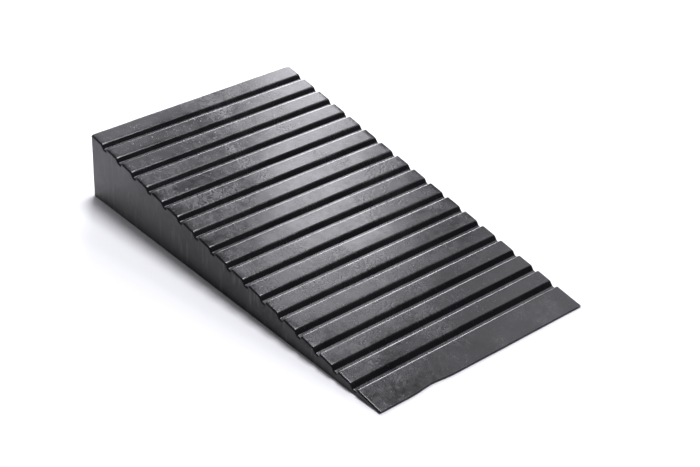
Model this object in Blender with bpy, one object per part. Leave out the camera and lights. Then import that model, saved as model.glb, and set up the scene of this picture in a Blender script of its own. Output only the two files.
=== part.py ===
"""Ribbed rubber wheel wedge: one solid moulding, in metres, +Z up.

The wedge lies on its flat base. X runs down the ramp from the tall heel to the
thin toe, Y runs across the width and Z is up. The origin is at the middle of
the base. The ramp carries cross ribs, parted by grooves that run out at both
sides.
"""

import math

import bmesh
import bpy
from mathutils import Vector

NODE = "rubber_wedge"

# Driving dimensions of the body
LENGTH = 0.440
WIDTH = 0.255
HEEL_HEIGHT = 0.072
TOE_THICKNESS = 0.0022

# Grooves, measured along X in the plane through the rib crowns
GROOVE_COUNT = 16
PITCH = 0.0254
FIRST_GROOVE_END = 0.0267  # from the heel face to the start of the second rib
GROOVE_MOUTH = 0.0078
GROOVE_DEPTH = 0.0037
TOE_WALL_RUN = 0.0033  # slant of the groove wall that faces the toe
HEEL_WALL_RUN = 0.0003  # slant of the steep groove wall that faces the heel

# Radii of the moulded edges
UPPER_RIB_RADIUS = 0.0022
LOWER_RIB_RADIUS = 0.0020
GROOVE_ROOT_RADIUS = 0.0005
HEEL_RADIUS = 0.0020
SIDE_RADIUS = 0.0018

ARC_STEPS = 3  # straight pieces in each rounded corner
NEAR = 0.00001  # two places closer than this are the same
CREASE_ANGLE = math.radians(35)  # faces that meet at more than this show an edge

RUBBER_COLOR = (0.022, 0.022, 0.024, 1.0)
RUBBER_ROUGHNESS = 0.45


def clear_scene():
    """Remove whatever the file holds, so that the wedge stands alone."""
    for old in list(bpy.data.objects):
        bpy.data.objects.remove(old, do_unlink=True)


def rubber_material():
    """Black moulded rubber with a low sheen."""
    rubber = bpy.data.materials.new("black_rubber")
    rubber.use_nodes = True
    shader = rubber.node_tree.nodes["Principled BSDF"]
    shader.inputs["Base Color"].default_value = RUBBER_COLOR
    shader.inputs["Roughness"].default_value = RUBBER_ROUGHNESS
    shader.inputs["Metallic"].default_value = 0.0
    return rubber


def crown_height(x):
    """Height of the plane through the rib crowns, x metres from the heel face."""
    return HEEL_HEIGHT + (TOE_THICKNESS - HEEL_HEIGHT) * x / LENGTH


def groove_corners(index):
    """Corners of one groove as (x, z, radius), from its heel side to its toe side."""
    end = FIRST_GROOVE_END + index * PITCH
    start = end - GROOVE_MOUTH
    floor_start = start + TOE_WALL_RUN
    floor_end = end - HEEL_WALL_RUN
    return [
        (start, crown_height(start), LOWER_RIB_RADIUS),
        (floor_start, crown_height(floor_start) - GROOVE_DEPTH, GROOVE_ROOT_RADIUS),
        (floor_end, crown_height(floor_end) - GROOVE_DEPTH, GROOVE_ROOT_RADIUS),
        (end, crown_height(end), UPPER_RIB_RADIUS),
    ]


def outline_corners():
    """Corners of the side outline as (x, z, radius), x counted from the heel face."""
    corners = [(0.0, 0.0, 0.0), (0.0, HEEL_HEIGHT, HEEL_RADIUS)]
    for index in range(GROOVE_COUNT):
        corners += groove_corners(index)
    corners += [(LENGTH, TOE_THICKNESS, 0.0), (LENGTH, 0.0, 0.0)]
    return corners


def rounded_corner(before, corner, after, radius):
    """Points along the arc that rounds one corner, or the corner itself."""
    if radius == 0.0:
        return [corner]
    to_before = (before - corner).normalized()
    to_after = (after - corner).normalized()
    half_angle = to_before.angle(to_after) / 2
    reach = radius / math.tan(half_angle)
    middle = (to_before + to_after).normalized()
    centre = corner + middle * (radius / math.sin(half_angle))
    first = (corner + to_before * reach - centre).normalized()
    last = (corner + to_after * reach - centre).normalized()
    return [
        centre + radius * first.slerp(last, step / ARC_STEPS)
        for step in range(ARC_STEPS + 1)
    ]


def rounded_outline():
    """The side outline with its round corners, as points in the XZ plane."""
    places = []
    radii = []
    for x, z, radius in outline_corners():
        places.append(Vector((x, z)))
        radii.append(radius)
    points = []
    for index, place in enumerate(places):
        before = places[index - 1]
        after = places[(index + 1) % len(places)]
        points += rounded_corner(before, place, after, radii[index])
    return points


def side_edges(solid):
    """Edges of both side outlines that are rounded: all but the base and the toe."""
    chosen = []
    for edge in solid.edges:
        start, end = (vertex.co for vertex in edge.verts)
        on_side = abs(start.y - end.y) < NEAR
        on_base = max(start.z, end.z) < NEAR
        on_toe = min(start.x, end.x) > LENGTH / 2 - NEAR
        if on_side and not on_base and not on_toe:
            chosen.append(edge)
    return chosen


def wedge_solid():
    """Draw the side outline, extrude it across the width and round its side edges."""
    solid = bmesh.new()
    outline = [
        solid.verts.new((point.x - LENGTH / 2, -WIDTH / 2, point.y))
        for point in rounded_outline()
    ]
    side = solid.faces.new(outline)
    extruded = bmesh.ops.extrude_face_region(solid, geom=[side])
    far_side = [item for item in extruded["geom"] if isinstance(item, bmesh.types.BMVert)]
    bmesh.ops.translate(solid, verts=far_side, vec=(0.0, WIDTH, 0.0))
    bmesh.ops.bevel(
        solid,
        geom=side_edges(solid),
        offset=SIDE_RADIUS,
        offset_type="OFFSET",
        segments=ARC_STEPS,
        profile=0.5,
        affect="EDGES",
        clamp_overlap=False,
    )
    bmesh.ops.recalc_face_normals(solid, faces=solid.faces[:])
    return solid


def make_wedge():
    """The whole wedge as one object, its origin at the middle of its base."""
    solid = wedge_solid()
    mesh = bpy.data.meshes.new(NODE)
    solid.to_mesh(mesh)
    solid.free()
    mesh.materials.append(rubber_material())
    mesh.shade_smooth()
    mesh.set_sharp_from_angle(angle=CREASE_ANGLE)
    wedge = bpy.data.objects.new(NODE, mesh)
    bpy.context.scene.collection.objects.link(wedge)
    return wedge


clear_scene()
make_wedge()
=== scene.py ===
import math

import bmesh
import bpy
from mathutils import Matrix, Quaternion, Vector


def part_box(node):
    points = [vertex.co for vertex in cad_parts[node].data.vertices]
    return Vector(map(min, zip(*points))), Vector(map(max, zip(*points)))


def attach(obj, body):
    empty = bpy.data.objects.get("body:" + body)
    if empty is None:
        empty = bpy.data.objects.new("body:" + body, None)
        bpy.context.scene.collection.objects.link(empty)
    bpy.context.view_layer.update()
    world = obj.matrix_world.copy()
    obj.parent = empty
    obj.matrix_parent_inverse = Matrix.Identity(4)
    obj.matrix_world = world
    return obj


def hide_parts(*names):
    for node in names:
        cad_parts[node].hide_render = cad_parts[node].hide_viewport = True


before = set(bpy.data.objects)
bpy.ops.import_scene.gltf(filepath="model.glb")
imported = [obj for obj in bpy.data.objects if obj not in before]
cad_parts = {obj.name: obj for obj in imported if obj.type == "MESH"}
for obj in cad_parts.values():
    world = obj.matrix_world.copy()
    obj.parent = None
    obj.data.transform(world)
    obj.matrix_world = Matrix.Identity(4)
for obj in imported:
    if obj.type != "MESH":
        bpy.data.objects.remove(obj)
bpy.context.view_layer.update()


# Wedge blank
# The wedge is one block of black rubber, pressed in a heated mould. The blank is the block
# with the plane of the ramp taken off it, before the ribs are formed.

WEDGE_NODE = "rubber_wedge"
HEEL_HEIGHT = 0.072
TOE_THICKNESS = 0.0022

wedge_low, wedge_high = (Vector(corner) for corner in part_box(WEDGE_NODE))
heel_x = wedge_low.x
toe_x = wedge_high.x
side_y = wedge_high.y
wedge_length = toe_x - heel_x
ramp_slope = (TOE_THICKNESS - HEEL_HEIGHT) / wedge_length


def crown_height(x):
    """Height of the rib crowns at a place along the wedge."""
    return HEEL_HEIGHT + ramp_slope * (x - heel_x)


def cut(place, normal, drop_outer=False):
    """Cut every selected face with a plane; the outer side can be taken off and capped."""
    bpy.ops.mesh.bisect(
        plane_co=place,
        plane_no=normal,
        use_fill=drop_outer,
        clear_outer=drop_outer,
    )


bpy.ops.object.select_all(action="DESELECT")
blank_middle = (0.0, 0.0, HEEL_HEIGHT / 2)
bpy.ops.mesh.primitive_cube_add(size=1.0, location=blank_middle)
wedge = bpy.context.object
wedge.name = "ribbed_wedge"
wedge.scale = (wedge_length, 2 * side_y, HEEL_HEIGHT)
bpy.ops.object.transform_apply(location=True, rotation=True, scale=True)
bpy.ops.object.mode_set(mode="EDIT")
bpy.ops.mesh.select_mode(type="FACE")
bpy.ops.mesh.select_all(action="SELECT")
cut((heel_x, 0.0, HEEL_HEIGHT), (-ramp_slope, 0.0, 1.0), drop_outer=True)


# Ribs and grooves
# Sixteen grooves run right across the ramp and out at both sides. Each has a slanted wall
# that faces the toe, a narrow floor and a steep wall that faces the heel.

GROOVE_COUNT = 16
PITCH = 0.0254
FIRST_GROOVE_END = 0.0267
GROOVE_MOUTH = 0.0078
GROOVE_DEPTH = 0.0037
TOE_WALL_RUN = 0.0033
HEEL_WALL_RUN = 0.0003
SAME_PLACE = 0.00002

groove_ends = [heel_x + FIRST_GROOVE_END + n * PITCH for n in range(GROOVE_COUNT)]
groove_starts = [end - GROOVE_MOUTH for end in groove_ends]
floor_starts = [start + TOE_WALL_RUN for start in groove_starts]
floor_ends = [end - HEEL_WALL_RUN for end in groove_ends]
ALONG = (1.0, 0.0, 0.0)


def near_any(x, places):
    """True where x is one of these places along the wedge."""
    return min(abs(x - place) for place in places) < SAME_PLACE


def select_vertices(test):
    """Select in edit mode only the vertices whose place passes the test."""
    shape = bmesh.from_edit_mesh(wedge.data)
    shape.select_mode = {"VERT"}
    for vertex in shape.verts:
        vertex.select = test(vertex.co)
    shape.select_flush_mode()
    bmesh.update_edit_mesh(wedge.data)


def select_edges(test):
    """Select in edit mode only the edges whose two ends pass the test together."""
    shape = bmesh.from_edit_mesh(wedge.data)
    shape.select_mode = {"EDGE"}
    for edge in shape.edges:
        edge.select = test(edge.verts[0].co, edge.verts[1].co)
    shape.select_flush_mode()
    bmesh.update_edit_mesh(wedge.data)


for place in groove_starts + floor_starts + floor_ends + groove_ends:
    bpy.ops.mesh.select_all(action="SELECT")
    cut((place, 0.0, 0.0), ALONG)

bpy.ops.mesh.select_mode(type="VERT")
select_vertices(lambda co: co.z > SAME_PLACE and near_any(co.x, floor_starts + floor_ends))
bpy.ops.transform.translate(value=(0.0, 0.0, -GROOVE_DEPTH))


def cut_line(first, second):
    """True for a line that the cuts left across the base or up either side."""
    at_end = first.x < heel_x + SAME_PLACE or first.x > toe_x - SAME_PLACE
    upright = abs(first.x - second.x) < SAME_PLACE
    return upright and not at_end and min(first.z, second.z) < SAME_PLACE


bpy.ops.mesh.select_mode(type="EDGE")
select_edges(cut_line)
bpy.ops.mesh.dissolve_edges(use_verts=True)


# Moulded edges
# The mould rounds the edges: most on the side of each rib that faces the heel, less on the
# side that faces the toe, and least in the roots of the grooves.

ROUND = 0.5
UPPER_RIB_REACH = 0.00260
UPPER_RIB_STEPS = 8
UPPER_RIB_FULLNESS = 0.62
LOWER_RIB_REACH = 0.00170
LOWER_RIB_STEPS = 5
ROOT_REACH = 0.00045
ROOT_STEPS = 3
HEEL_REACH = 0.0016
HEEL_STEPS = 5
SIDE_REACH = 0.0018
SIDE_STEPS = 4
BASE_EDGE_REACH = 0.0011
BASE_EDGE_STEPS = 3


def round_edges(reach, steps, fullness=ROUND):
    """Round the selected edges; reach is how far the round runs over the faces."""
    bpy.ops.mesh.bevel(
        offset_type="OFFSET",
        offset=reach,
        segments=steps,
        profile=fullness,
        affect="EDGES",
        clamp_overlap=False,
    )


def across(first, second):
    """True for an edge that runs straight across the width, above the base."""
    return (
        abs(first.x - second.x) < SAME_PLACE
        and abs(first.z - second.z) < SAME_PLACE
        and first.z > SAME_PLACE
    )


for places, reach, steps, fullness in (
    (groove_ends, UPPER_RIB_REACH, UPPER_RIB_STEPS, UPPER_RIB_FULLNESS),
    (groove_starts, LOWER_RIB_REACH, LOWER_RIB_STEPS, ROUND),
    (floor_starts + floor_ends, ROOT_REACH, ROOT_STEPS, ROUND),
    ([heel_x], HEEL_REACH, HEEL_STEPS, ROUND),
):
    select_edges(lambda a, b: across(a, b) and near_any(a.x, places))
    round_edges(reach, steps, fullness)


def side_outline(first, second):
    """True for an edge round either side that is neither on the base nor on the toe."""
    on_side = min(abs(first.y), abs(second.y)) > side_y - SAME_PLACE
    on_base = max(first.z, second.z) < SAME_PLACE
    on_toe = min(first.x, second.x) > toe_x - SAME_PLACE
    return on_side and first.y * second.y > 0 and not (on_base or on_toe)


select_edges(side_outline)
round_edges(SIDE_REACH, SIDE_STEPS)


def base_outline(first, second):
    """True for an edge round the base."""
    on_base = max(first.z, second.z) < SAME_PLACE
    same_side = min(abs(first.y), abs(second.y)) > side_y - SAME_PLACE and first.y * second.y > 0
    same_end = abs(first.x - second.x) < SAME_PLACE and abs(first.x) > toe_x - SAME_PLACE
    return on_base and (same_side or same_end)


select_edges(base_outline)
round_edges(BASE_EDGE_REACH, BASE_EDGE_STEPS)


# Uneven skin
# Pressed rubber is never quite flat: the crowns and sides swell and sink a little, and the
# thin edge of the toe does not run dead straight.

RIB_PARTS = 6
ROWS_ACROSS = 100
SIDE_BANDS = 22
UPRIGHT = 0.05
SWELL = 0.00050
SWELL_SIZE = 0.045
RIPPLE = 0.00006
RIPPLE_SIZE = 0.010
TOE_TRIM_REACH = 0.012
TOE_BITE = 0.0022
TOE_BITE_Y = -0.064
TOE_BITE_WIDTH = 0.016
TOE_SLANT = 0.0009
TOE_UNDERCUT = 0.0018
SHOULDER_REACH = 0.006
SHOULDER_DROP = 0.0006
SHOULDER_FULL_HEIGHT = 0.02
CREASE_ANGLE = math.radians(50)

rib_starts = [heel_x + HEEL_REACH] + [end + UPPER_RIB_REACH for end in groove_ends]
rib_ends = [start - LOWER_RIB_REACH for start in groove_starts] + [toe_x]
for start, end in zip(rib_starts, rib_ends):
    for part in range(RIB_PARTS + 1):
        place = start + (end - start) * part / RIB_PARTS
        if place < toe_x - SAME_PLACE:
            bpy.ops.mesh.select_all(action="SELECT")
            cut((place, 0.0, 0.0), ALONG)
for row in range(1, ROWS_ACROSS):
    place = side_y * (2 * row / ROWS_ACROSS - 1)
    bpy.ops.mesh.select_all(action="SELECT")
    cut((0.0, place, 0.0), (0.0, 1.0, 0.0))


def select_faces(test):
    """Select in edit mode only the faces whose middle and normal pass the test."""
    shape = bmesh.from_edit_mesh(wedge.data)
    shape.select_mode = {"FACE"}
    for face in shape.faces:
        face.select = test(face.calc_center_median(), face.normal)
    shape.select_flush_mode()
    bmesh.update_edit_mesh(wedge.data)


bpy.ops.mesh.select_mode(type="FACE")
for band in range(1, SIDE_BANDS):
    select_faces(lambda middle, normal: abs(normal.z) < UPRIGHT and middle.x < toe_x - SAME_PLACE)
    cut((0.0, 0.0, HEEL_HEIGHT * band / SIDE_BANDS), (0.0, 0.0, 1.0))
bpy.ops.object.mode_set(mode="OBJECT")

# The edge of the toe has a shallow bite near one end, runs a little out of square and leans
# back under itself. The crowns fall away a little towards both sides.
for vertex in wedge.data.vertices:
    near_toe = max(0.0, 1.0 - (toe_x - vertex.co.x) / TOE_TRIM_REACH)
    bite = TOE_BITE * math.exp(-(((vertex.co.y - TOE_BITE_Y) / TOE_BITE_WIDTH) ** 2))
    slant = TOE_SLANT * (0.5 - 0.5 * vertex.co.y / side_y)
    near_side = max(0.0, 1.0 - (side_y - abs(vertex.co.y)) / SHOULDER_REACH)
    crown = crown_height(vertex.co.x)
    drop = SHOULDER_DROP * near_side**2 * min(1.0, crown / SHOULDER_FULL_HEIGHT) * vertex.co.z / crown
    undercut = TOE_UNDERCUT * max(0.0, 1.0 - vertex.co.z / TOE_THICKNESS)
    vertex.co.x -= near_toe * (bite + slant + undercut)
    vertex.co.z -= drop

above_base = [v.index for v in wedge.data.vertices if v.co.z > SAME_PLACE]
wedge.vertex_groups.new(name="skin").add(above_base, 1.0, "REPLACE")


def sink_skin(name, depth, grain):
    """Push the skin inward by a soft cloudy pattern, by no more than depth."""
    pattern = bpy.data.textures.new(name, "CLOUDS")
    pattern.noise_scale = grain
    pattern.noise_depth = 1
    sinking = wedge.modifiers.new(name, "DISPLACE")
    sinking.texture = pattern
    sinking.texture_coords = "LOCAL"
    sinking.vertex_group = "skin"
    sinking.mid_level = 1.0
    sinking.strength = depth
    bpy.ops.object.modifier_apply(modifier=name)


sink_skin("swell", SWELL, SWELL_SIZE)
sink_skin("ripple", RIPPLE, RIPPLE_SIZE)
wedge.vertex_groups.clear()

# No part of the skin stands out past the sides or the top of the block.
for vertex in wedge.data.vertices:
    vertex.co.y = max(-side_y, min(side_y, vertex.co.y))
    vertex.co.z = min(wedge_high.z, vertex.co.z)

bpy.ops.object.shade_smooth_by_angle(angle=CREASE_ANGLE)
bpy.ops.object.modifier_add(type="WEIGHTED_NORMAL")
wedge.modifiers[-1].keep_sharp = True
bpy.ops.object.modifier_apply(modifier=wedge.modifiers[-1].name)


# Black rubber
# One filled rubber compound, pressed and cured, black all through. Its skin has a low,
# uneven sheen where the compound flowed, curled flow marks, talc specks and pale scuffs.
# The sides also carry painted light: a paler tint that grows towards the heel.

RUBBER_BLACK = (0.0030, 0.0030, 0.0040, 1.0)
RUBBER_GREY = (0.0085, 0.0085, 0.0100, 1.0)
# Pale talc colour, also used as the painted light on the sides near the heel.
TALC_AND_PAINTED_LIGHT = (0.16, 0.16, 0.165, 1.0)
SPECK_COVER = 0.18
SPECULAR_LEVEL = 0.43
RELIEF_HEIGHT = 0.0004
FLOW_RELIEF = 0.55
CURL_RELIEF = 0.22
HATCH_RELIEF = 0.09
MOTTLE_RELIEF = 0.06
GRAIN_RELIEF = 0.035
PIT_DEPTH = 0.25
CURL_ROUGHNESS = 0.10
SIDE_ROUGHNESS = 0.22

rubber = bpy.data.materials.new("black_rubber_skin")
rubber.use_nodes = True
rubber_tree = rubber.node_tree
rubber_shader = rubber_tree.nodes["Principled BSDF"]
rubber_place = rubber_tree.nodes.new("ShaderNodeTexCoord").outputs["Object"]


def rubber_node(kind, **settings):
    """A node of the rubber material with its settings made."""
    node = rubber_tree.nodes.new(kind)
    for name, value in settings.items():
        setattr(node, name, value)
    return node


def feed(source, target):
    """Join one socket of the rubber material to another."""
    rubber_tree.links.new(source, target)


def stretched(scale):
    """Object coordinates drawn out by a scale along each axis."""
    mapping = rubber_node("ShaderNodeMapping")
    mapping.inputs["Scale"].default_value = scale
    feed(rubber_place, mapping.inputs["Vector"])
    return mapping.outputs["Vector"]


def cloud(place, scale, detail, roughness=0.5, distortion=0.0):
    """Soft noise from 0 to 1."""
    noise = rubber_node("ShaderNodeTexNoise")
    noise.inputs["Scale"].default_value = scale
    noise.inputs["Detail"].default_value = detail
    noise.inputs["Roughness"].default_value = roughness
    noise.inputs["Distortion"].default_value = distortion
    feed(place, noise.inputs["Vector"])
    return noise.outputs["Fac"]


def spread(source, low, high, out_low=0.0, out_high=1.0):
    """Stretch the part of a pattern between low and high over a new range."""
    ranged = rubber_node("ShaderNodeMapRange", interpolation_type="SMOOTHSTEP")
    ranged.inputs["From Min"].default_value = low
    ranged.inputs["From Max"].default_value = high
    ranged.inputs["To Min"].default_value = out_low
    ranged.inputs["To Max"].default_value = out_high
    feed(source, ranged.inputs["Value"])
    return ranged.outputs["Result"]


def combine(operation, first, second):
    """Arithmetic on two patterns, or on a pattern and a number."""
    math_node = rubber_node("ShaderNodeMath", operation=operation)
    for socket, value in zip(math_node.inputs, (first, second)):
        if isinstance(value, float):
            socket.default_value = value
        else:
            feed(value, socket)
    return math_node.outputs["Value"]


def tint(amount, base, over):
    """Lay one colour over another by an amount."""
    mix = rubber_node("ShaderNodeMix", data_type="RGBA")
    feed(amount, mix.inputs["Factor"])
    for socket, value in ((mix.inputs["A"], base), (mix.inputs["B"], over)):
        if isinstance(value, tuple):
            socket.default_value = value
        else:
            feed(value, socket)
    return mix.outputs["Result"]


flow = cloud(stretched((1.0, 0.45, 1.0)), scale=34.0, detail=5.0, roughness=0.55, distortion=0.6)
drift = cloud(rubber_place, scale=11.0, detail=2.0)
grain = cloud(rubber_place, scale=900.0, detail=3.0)

curl = rubber_node("ShaderNodeTexWave", wave_type="BANDS", bands_direction="DIAGONAL")
curl.inputs["Scale"].default_value = 55.0
curl.inputs["Distortion"].default_value = 14.0
curl.inputs["Detail"].default_value = 3.0
curl.inputs["Detail Scale"].default_value = 2.2
feed(rubber_place, curl.inputs["Vector"])
curl_clouds = cloud(rubber_place, scale=19.0, detail=2.0, distortion=0.4)
curl_patches = spread(curl_clouds, low=0.53, high=0.66)
curls = combine("MULTIPLY", curl.outputs["Fac"], curl_patches)

speck_field = cloud(rubber_place, scale=520.0, detail=1.0)
specks = spread(speck_field, low=0.70, high=0.78)
pits = spread(speck_field, low=0.30, high=0.24)

mottle = cloud(rubber_place, scale=150.0, detail=4.0, roughness=0.6)
hatching = cloud(stretched((0.22, 1.0, 1.0)), scale=260.0, detail=3.0, roughness=0.6)
hatched = combine("MULTIPLY", hatching, spread(drift, low=0.42, high=0.60))

# The dust lies only where the skin faces up. The scuffs and the painted light near the heel
# are only on the upright sides.
facing = rubber_node("ShaderNodeSeparateXYZ")
feed(rubber_node("ShaderNodeNewGeometry").outputs["Normal"], facing.inputs["Vector"])
on_sides = spread(combine("ABSOLUTE", facing.outputs["Y"], 0.0), low=0.80, high=0.95)
on_crowns = spread(facing.outputs["Z"], low=0.90, high=0.975)
along = rubber_node("ShaderNodeSeparateXYZ")
feed(rubber_place, along.inputs["Vector"])

dust_clouds = cloud(rubber_place, scale=30.0, detail=7.0, roughness=0.68, distortion=0.3)
dust = spread(dust_clouds, low=0.48, high=0.80, out_high=0.26)
dust = combine("MULTIPLY", dust, on_crowns)
scuff_streaks = cloud(stretched((1.0, 1.0, 0.12)), scale=190.0, detail=3.0, roughness=0.6)
scuffs = spread(scuff_streaks, low=0.54, high=0.74, out_high=0.32)
scuffs = combine("MULTIPLY", scuffs, on_sides)
# Painted light: the sides are tinted paler towards the heel, standing in for the light they catch
# there.
painted_side_light = spread(along.outputs["X"], low=0.0, high=heel_x, out_high=0.40)
painted_side_light = combine("MULTIPLY", painted_side_light, on_sides)

skin_color = tint(spread(flow, low=0.25, high=0.80), RUBBER_BLACK, RUBBER_GREY)
skin_color = tint(combine("MAXIMUM", dust, scuffs), skin_color, TALC_AND_PAINTED_LIGHT)
skin_color = tint(combine("MULTIPLY", specks, SPECK_COVER), skin_color, TALC_AND_PAINTED_LIGHT)
# Lay the painted light on the sides, paler towards the heel.
skin_color = tint(painted_side_light, skin_color, TALC_AND_PAINTED_LIGHT)
feed(skin_color, rubber_shader.inputs["Base Color"])

roughness = spread(flow, low=0.2, high=0.8, out_low=0.17, out_high=0.27)
for change in (
    spread(drift, low=0.3, high=0.7, out_low=-0.02, out_high=0.03),
    combine("MULTIPLY", curls, CURL_ROUGHNESS),
    spread(mottle, low=0.35, high=0.65, out_low=-0.02, out_high=0.04),
    combine("MULTIPLY", on_sides, SIDE_ROUGHNESS),
):
    roughness = combine("ADD", roughness, change)
feed(roughness, rubber_shader.inputs["Roughness"])

relief = combine("MULTIPLY", flow, FLOW_RELIEF)
for pattern, height in (
    (curls, CURL_RELIEF),
    (hatched, HATCH_RELIEF),
    (mottle, MOTTLE_RELIEF),
    (grain, GRAIN_RELIEF),
):
    relief = combine("ADD", relief, combine("MULTIPLY", pattern, height))
relief = combine("SUBTRACT", relief, combine("MULTIPLY", pits, PIT_DEPTH))

# The relief is strong on the flat skin and faint on the rounded edges.
on_flats = combine("MAXIMUM", on_crowns, on_sides)
relief_strength = spread(on_flats, low=0.0, high=1.0, out_low=0.12, out_high=0.6)
skin_bump = rubber_node("ShaderNodeBump")
skin_bump.inputs["Distance"].default_value = RELIEF_HEIGHT
feed(relief_strength, skin_bump.inputs["Strength"])
feed(relief, skin_bump.inputs["Height"])
feed(skin_bump.outputs["Normal"], rubber_shader.inputs["Normal"])

rubber_shader.inputs["Specular IOR Level"].default_value = SPECULAR_LEVEL

wedge.data.materials.clear()
wedge.data.materials.append(rubber)

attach(wedge, "root")
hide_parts(WEDGE_NODE)


# Studio
# A pale floor, two low soft lights beyond the heel that the crowns mirror, wide fills on the
# far side and the heel side, and a soft light overhead that draws the line along each rib.

FLOOR_SIZE = 12.0
FLOOR_TONE = (0.82, 0.82, 0.82, 1.0)
FLOOR_ROUGHNESS = 0.9

bpy.ops.mesh.primitive_plane_add(size=FLOOR_SIZE)
floor = bpy.context.object
floor.name = "studio_floor"
floor_paint = bpy.data.materials.new("pale_floor")
floor_paint.use_nodes = True
floor_shader = floor_paint.node_tree.nodes["Principled BSDF"]
floor_shader.inputs["Base Color"].default_value = FLOOR_TONE
floor_shader.inputs["Roughness"].default_value = FLOOR_ROUGHNESS
floor.data.materials.append(floor_paint)

# The room itself is dim, so that the groove walls that face the toe stay dark.
ROOM_LIGHT = 0.11
COOL_WHITE = (0.94, 0.94, 1.0)

world = bpy.data.worlds.new("studio")
world.use_nodes = True
room = world.node_tree.nodes["Background"]
room.inputs["Color"].default_value = (*COOL_WHITE, 1.0)
room.inputs["Strength"].default_value = ROOM_LIGHT
bpy.context.scene.world = world


def soft_light(name, place, target, width, height, power):
    """A rectangular soft light that faces a point."""
    bpy.ops.object.light_add(type="AREA", location=place)
    lamp = bpy.context.object
    lamp.name = name
    lamp.data.shape = "RECTANGLE"
    lamp.data.size = width
    lamp.data.size_y = height
    lamp.data.energy = power
    lamp.data.color = COOL_WHITE
    lamp.visible_camera = False
    lamp.rotation_euler = (Vector(target) - Vector(place)).to_track_quat("-Z", "Y").to_euler()
    return lamp


# The long strip hangs level and faces straight down. The other lamps face the wedge.
MIDDLE = (0.0, 0.0, 0.0)
STRIP_PLACE = (-1.215, 1.085, 0.80)
STRIP_FOOT = (-1.215, 1.085, 0.0)
STRIP_TURN = math.atan2(-0.54, 0.843)

strip = soft_light("long_strip", STRIP_PLACE, STRIP_FOOT, width=2.15, height=0.22, power=13.2)
strip.rotation_euler.z = STRIP_TURN
soft_light("low_strip", (-1.62, 1.30, 0.716), MIDDLE, width=0.80, height=0.65, power=30.0)
soft_light("far_fill", (-0.267, 1.896, 1.607), MIDDLE, width=1.2, height=1.1, power=9.0)
soft_light("heel_fill", (-1.95, 0.274, 1.54), MIDDLE, width=2.1, height=1.1, power=18.0)
soft_light("top", (-0.2, 0.58, 2.45), MIDDLE, width=0.95, height=0.95, power=64.0)


# Camera
# It stands off the toe on the near side and looks down over the ramp. It has a long lens
# and is rolled by a few degrees.

CAMERA_PLACE = (0.9373, -0.8325, 0.8451)
CAMERA_DIRECTION = (-0.61486, 0.56501, -0.55019)
CAMERA_ROLL = math.radians(2.96)
CAMERA_LENS = 79.06
CAMERA_SENSOR = 36.0

camera_data = bpy.data.cameras.new("camera")
camera_data.sensor_width = CAMERA_SENSOR
camera_data.lens = CAMERA_LENS
camera = bpy.data.objects.new("camera", camera_data)
bpy.context.scene.collection.objects.link(camera)
camera.location = CAMERA_PLACE
camera_turn = Vector(CAMERA_DIRECTION).to_track_quat("-Z", "Y")
camera_turn = camera_turn @ Quaternion((0.0, 0.0, 1.0), CAMERA_ROLL)
camera.rotation_euler = camera_turn.to_euler()
bpy.context.scene.camera = camera
bpy.context.scene.view_settings.view_transform = "Standard"
